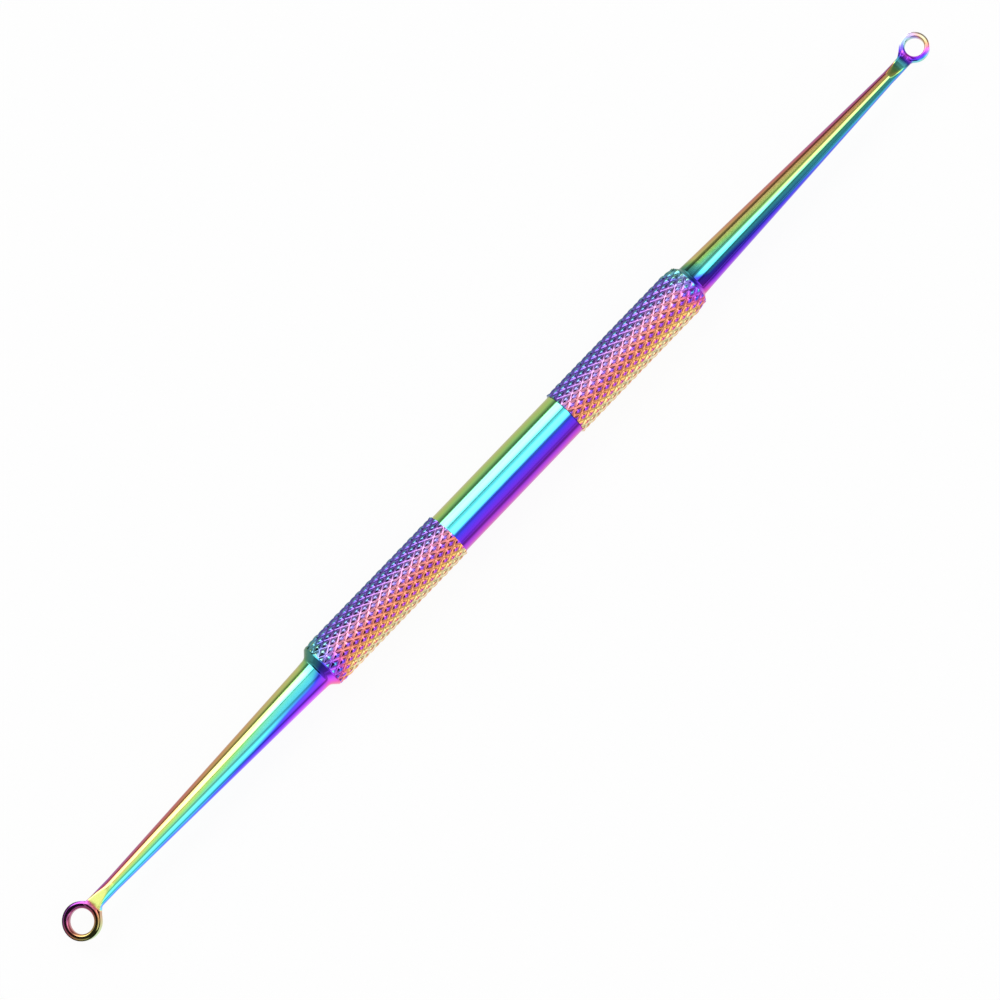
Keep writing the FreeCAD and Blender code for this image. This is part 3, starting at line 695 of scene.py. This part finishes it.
def row_of_levels(nodes, links, source, levels):
    """A row of brightness levels by a value: the value is spread over the row's span and read from a
    ramp."""
    first, last = levels[0][0], levels[-1][0]
    share = nodes.new("ShaderNodeMapRange")
    share.inputs["From Min"].default_value = first
    share.inputs["From Max"].default_value = last
    links.new(source, share.inputs["Value"])
    ramp = nodes.new("ShaderNodeValToRGB")
    stops = ramp.color_ramp.elements
    stops[0].position, stops[0].color = 0.0, (levels[0][1], levels[0][1], levels[0][1], 1)
    stops[1].position, stops[1].color = 1.0, (levels[-1][1], levels[-1][1], levels[-1][1], 1)
    for value, level in levels[1:-1]:
        stops.new((value - first) / (last - first)).color = (level, level, level, 1)
    links.new(share.outputs["Result"], ramp.inputs["Fac"])
    return ramp.outputs["Color"]


def joined(nodes, links, operation, one, other, third=None):
    """One step of arithmetic on two or three sockets or numbers."""
    step = nodes.new("ShaderNodeMath")
    step.operation = operation
    for socket, given in zip(step.inputs, (one, other, third)):
        if given is None:
            continue
        if isinstance(given, (int, float)):
            socket.default_value = given
        else:
            links.new(given, socket)
    return step.outputs[0]


def white_table():
    """White to the camera by a share of its own glow, as bright in reflections as the rows say, and pale
    and shadowed for the rest."""
    material = bpy.data.materials.new("white_table")
    material.use_nodes = True
    nodes, links = material.node_tree.nodes, material.node_tree.links
    nodes.remove(nodes["Principled BSDF"])
    matt = nodes.new("ShaderNodeBsdfDiffuse")
    matt.inputs["Color"].default_value = FLOOR_COLOUR
    place = nodes.new("ShaderNodeTexCoord")
    across = nodes.new("ShaderNodeSeparateXYZ")
    links.new(place.outputs["Object"], across.inputs[0])
    in_mm = joined(nodes, links, "DIVIDE", across.outputs["Y"], MM)
    along_mm = joined(nodes, links, "DIVIDE", across.outputs["X"], MM)
    mirrored = joined(nodes, links, "MULTIPLY_ADD", row_of_levels(nodes, links, in_mm, FLOOR_IN_FRONT),
                      row_of_levels(nodes, links, along_mm, FRONT_ALONG),
                      row_of_levels(nodes, links, in_mm, FLOOR_BEHIND))
    path = nodes.new("ShaderNodeLightPath")
    shown = joined(nodes, links, "MAXIMUM", path.outputs["Is Camera Ray"],
                   path.outputs["Is Transmission Ray"])
    seen = joined(nodes, links, "MAXIMUM", shown, path.outputs["Is Glossy Ray"])
    level = joined(nodes, links, "MULTIPLY_ADD", mirrored, path.outputs["Is Glossy Ray"], shown)
    glow = nodes.new("ShaderNodeEmission")
    links.new(level, glow.inputs["Strength"])
    mix = nodes.new("ShaderNodeMixShader")
    links.new(joined(nodes, links, "MULTIPLY", seen, FLOOR_GLOW_SHARE), mix.inputs["Fac"])
    links.new(matt.outputs[0], mix.inputs[1])
    links.new(glow.outputs[0], mix.inputs[2])
    links.new(mix.outputs[0], nodes["Material Output"].inputs["Surface"])
    return material


table_height = -CREST_RADIUS
table_mesh = bpy.data.meshes.new("table_top")
table_mesh.from_pydata(
    [(x, y, table_height) for x, y in ((-FLOOR_HALF, -FLOOR_HALF), (FLOOR_HALF, -FLOOR_HALF),
                                       (FLOOR_HALF, FLOOR_HALF), (-FLOOR_HALF, FLOOR_HALF))],
    [], [(0, 1, 2, 3)])
table_mesh.materials.append(white_table())
table_top = bpy.data.objects.new("table_top", table_mesh)
bpy.context.scene.collection.objects.link(table_top)

# The tent's brightness, by the angle from overhead in degrees, to the back (plus) and the front (minus):
# the walls over the middle of the tool and beside it, then the panels behind the tool, over its loops, low
# in front and in front
TENT_WALLS = (
    (-90, 0.50), (-84, 0.62), (-78, 0.92), (-54, 0.98), (-48, 0.95), (-42, 0.60), (-38, 0.46), (-35, 0.50),
    (-30, 0.95), (4, 1.0), (10, 1.0), (13, 0.40), (15, 0.40), (18, 1.0), (60, 1.0), (63, 0.50), (66, 0.16),
    (69, 0.16), (75, 0.28), (82, 0.45), (90, 0.62),
)
TENT_SIDES = ((-90, 0.9), (-60, 1.1), (0, 1.0), (60, 1.1), (90, 0.9))
BACK_PANEL = ((-90, 0), (18, 0), (21, 0.9), (27, 1.5), (42, 1.5), (48, 1), (59, 1), (61, 0), (90, 0))
LOOP_PANEL = ((-90, 0), (2, 0), (6, 0.6), (20, 0.6), (24, 0), (90, 0))
LOW_PANEL = ((-90, 0.25), (-86, 0.3), (-80, 0.35), (-56, 0.35), (-50, 0), (90, 0))
FRONT_PANEL = ((-90, 0), (-34, 0), (-28, 0.75), (-17, 1), (-10, 1), (-3, 0.8), (3, 0), (90, 0))
PANEL_BRIGHTNESS = 2.0

# The same along the tool, by the direction's part along the axis from the large end (minus) to the small
# end (plus): where the middle's walls and the panels are, how bright the walls are, and where the roof
# has dark gaps, which end at the angles of the last two rows
MIDDLE_ALONG = ((-1, 0), (-0.2, 0), (-0.15, 1), (0.34, 1), (0.42, 0), (1, 0))
BACK_PANEL_ALONG = ((-1, 0), (-0.32, 0), (-0.28, 1), (0.22, 1), (0.25, 0), (1, 0))
LOOP_PANEL_ALONG = ((-1, 0), (0.03, 0), (0.045, 1), (0.085, 1), (0.10, 0), (1, 0))
LOW_PANEL_ALONG = ((-1, 0), (-0.2, 0), (-0.15, 1), (0.06, 1), (0.09, 0), (1, 0))
FRONT_PANEL_ALONG = ((-1, 0), (0.04, 0), (0.10, 1), (0.40, 1), (0.48, 0), (1, 0))
WALLS_ALONG = (
    (-1, 0.35), (-0.8, 0.5), (-0.31, 0.6), (-0.29, 1.35), (-0.2, 1.35), (-0.15, 1), (0.2, 1), (0.25, 0.5),
    (0.36, 0.5), (0.42, 1.15), (0.8, 1.1), (1, 0.4),
)
GAPS_ALONG = (
    (-1, 0), (-0.66, 0), (-0.60, 0.95), (-0.34, 0.95), (-0.29, 0), (0.36, 0), (0.40, 0.75), (0.8, 0.75),
    (0.86, 0), (1, 0),
)
LOW_GAP_ALONG = ((-1, 0), (0.2, 0), (0.24, 0.42), (0.34, 0.42), (0.38, 0), (1, 0))
LOW_GAP_ACROSS = ((-90, 0.6), (-80, 1), (-38, 1), (-32, 0), (90, 0))
GAPS_ACROSS = ((-90, 0), (-40, 0), (-30, 1), (36, 1), (46, 0), (90, 0))


def tent_world():
    """The tent: the walls, darkened by the gaps, and the panels are read from their rows by the angle of
    the direction about the tool's axis and by its part along the axis, and added up. The camera itself
    sees plain white."""
    world = bpy.data.worlds.new("light_tent")
    world.use_nodes = True
    nodes, links = world.node_tree.nodes, world.node_tree.links
    way = nodes.new("ShaderNodeTexCoord")
    parts = nodes.new("ShaderNodeSeparateXYZ")
    links.new(way.outputs["Generated"], parts.inputs[0])
    radians = joined(nodes, links, "ARCTAN2", parts.outputs["Y"], parts.outputs["Z"])
    angle = joined(nodes, links, "DEGREES", radians, None)
    walls = nodes.new("ShaderNodeMix")
    links.new(row_of_levels(nodes, links, parts.outputs["X"], MIDDLE_ALONG), walls.inputs["Factor"])
    links.new(row_of_levels(nodes, links, angle, TENT_SIDES), walls.inputs["A"])
    links.new(row_of_levels(nodes, links, angle, TENT_WALLS), walls.inputs["B"])
    gap = joined(nodes, links, "MULTIPLY", row_of_levels(nodes, links, angle, GAPS_ACROSS),
                 row_of_levels(nodes, links, parts.outputs["X"], GAPS_ALONG))
    low_gap = joined(nodes, links, "MULTIPLY", row_of_levels(nodes, links, angle, LOW_GAP_ACROSS),
                     row_of_levels(nodes, links, parts.outputs["X"], LOW_GAP_ALONG))
    roof = joined(nodes, links, "SUBTRACT", 1.0, joined(nodes, links, "ADD", gap, low_gap))
    level = joined(nodes, links, "MULTIPLY", walls.outputs["Result"], roof)
    along_walls = row_of_levels(nodes, links, parts.outputs["X"], WALLS_ALONG)
    level = joined(nodes, links, "MULTIPLY", level, along_walls)
    panels = ((BACK_PANEL, BACK_PANEL_ALONG), (LOOP_PANEL, LOOP_PANEL_ALONG), (LOW_PANEL, LOW_PANEL_ALONG),
              (FRONT_PANEL, FRONT_PANEL_ALONG))
    for across, along in panels:
        panel = joined(nodes, links, "MULTIPLY", row_of_levels(nodes, links, angle, across),
                       row_of_levels(nodes, links, parts.outputs["X"], along))
        level = joined(nodes, links, "MULTIPLY_ADD", panel, PANEL_BRIGHTNESS, level)
    path = nodes.new("ShaderNodeLightPath")
    shown = nodes.new("ShaderNodeMix")
    shown.inputs["B"].default_value = 1.0
    links.new(path.outputs["Is Camera Ray"], shown.inputs["Factor"])
    links.new(level, shown.inputs["A"])
    links.new(shown.outputs["Result"], nodes["Background"].inputs["Strength"])
    nodes["Background"].inputs["Color"].default_value = (1, 1, 1, 1)
    return world


bpy.context.scene.world = tent_world()

# The camera looks down on the tool from the front, a little from the large loop's end, and is rolled so
# that the tool runs from the lower left to the upper right of a square picture.
PICTURE_PIXELS = 1000
HANDLE_PIXEL = (506.95, 474.22)
PIXELS_PER_METRE = 10381
AXIS_RISE = math.radians(46.15)
CAMERA_DISTANCE = 0.6
CAMERA_LEAN = math.radians(12)
CAMERA_TILT = math.radians(8)
SENSOR_WIDTH = 36

back_way = Vector((-math.sin(CAMERA_TILT), -math.sin(CAMERA_LEAN) * math.cos(CAMERA_TILT),
                   math.cos(CAMERA_LEAN) * math.cos(CAMERA_TILT)))
axis_way = Vector((1, 0, 0)) - back_way * back_way.x
axis_way.normalize()
side_way = back_way.cross(axis_way)
right_way = axis_way * math.cos(AXIS_RISE) - side_way * math.sin(AXIS_RISE)
up_way = axis_way * math.sin(AXIS_RISE) + side_way * math.cos(AXIS_RISE)
aim = right_way * (PICTURE_PIXELS / 2 - HANDLE_PIXEL[0]) - up_way * (PICTURE_PIXELS / 2 - HANDLE_PIXEL[1])
aim = aim / PIXELS_PER_METRE
camera = bpy.data.cameras.new("camera")
camera.sensor_width = SENSOR_WIDTH
camera.lens = SENSOR_WIDTH * CAMERA_DISTANCE * PIXELS_PER_METRE / PICTURE_PIXELS
camera_object = bpy.data.objects.new("camera", camera)
camera_object.matrix_world = Matrix.Translation(aim + back_way * CAMERA_DISTANCE) @ Matrix(
    (right_way, up_way, back_way)).transposed().to_4x4()
bpy.context.scene.collection.objects.link(camera_object)
bpy.context.scene.camera = camera_object
bpy.context.scene.view_settings.view_transform = "Standard"
